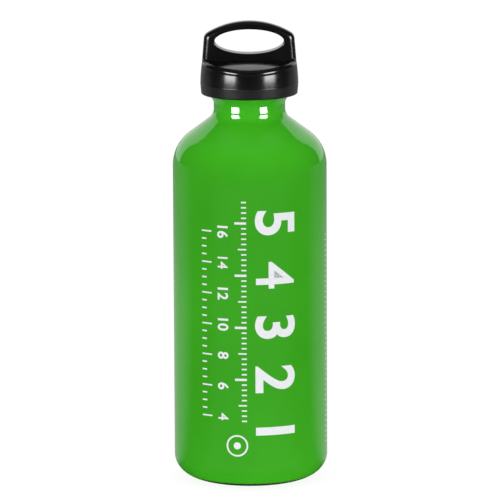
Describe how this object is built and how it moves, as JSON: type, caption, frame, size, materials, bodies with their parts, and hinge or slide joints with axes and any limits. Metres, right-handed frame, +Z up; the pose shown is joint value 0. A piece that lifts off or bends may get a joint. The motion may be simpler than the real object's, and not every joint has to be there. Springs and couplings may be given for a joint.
{
  "type": "camping fuel bottle",
  "caption": "Drawn metal fuel bottle with rounded shoulder, narrow threaded neck and a push-and-turn screw cap with a carry loop.",
  "frame": {"origin": "centre of the base, on the plane the bottle stands on", "axes": "+Z up along the bottle's axis; the carry loop lies along X and its finger hole runs along Y; the front faces -Y"},
  "size_m": [0.073, 0.073, 0.2195],
  "materials": {
    "green_enamel": "glossy enamel",
    "bare_aluminium": "turned",
    "seal_rubber": "matt",
    "plug_plastic": "fine moulded",
    "spring_steel": "bright drawn",
    "black_cap_plastic": "semi-gloss moulded"
  },
  "bodies": {
    "bottle": {"bottle_shell": "green_enamel", "neck_thread_insert": "bare_aluminium"},
    "seal": {"seal_ring": "seal_rubber"},
    "plug": {"cap_plug": "plug_plastic", "lock_spring": "spring_steel"},
    "ring": {"retaining_ring": "spring_steel"},
    "cap": {"cap_shell": "black_cap_plastic"}
  },
  "joints": [
    {"name": "cap_lift", "type": "slide", "parent": "bottle", "child": "seal", "axis": [0, 0, 1], "range_m": [0, 0.0141]},
    {"name": "cap_turn", "type": "hinge", "parent": "seal", "child": "plug", "pos_m": [0, 0, 0.1912], "axis": [0, 0, 1], "range_deg": [0, 1800]},
    {"name": "shell_push", "type": "slide", "parent": "plug", "child": "ring", "axis": [0, 0, 1], "range_m": [-0.0018, 0], "stiffness_N_per_m": 3000, "springref_m": 0.003, "deforming": ["lock_spring"]},
    {"name": "shell_spin", "type": "hinge", "parent": "ring", "child": "cap", "pos_m": [0, 0, 0.1905], "axis": [0, 0, 1], "continuous": true}
  ],
  "couplings": [
    {"joint": "cap_lift", "follows": "cap_turn", "m_per_rad": 0.00044563}
  ]
}
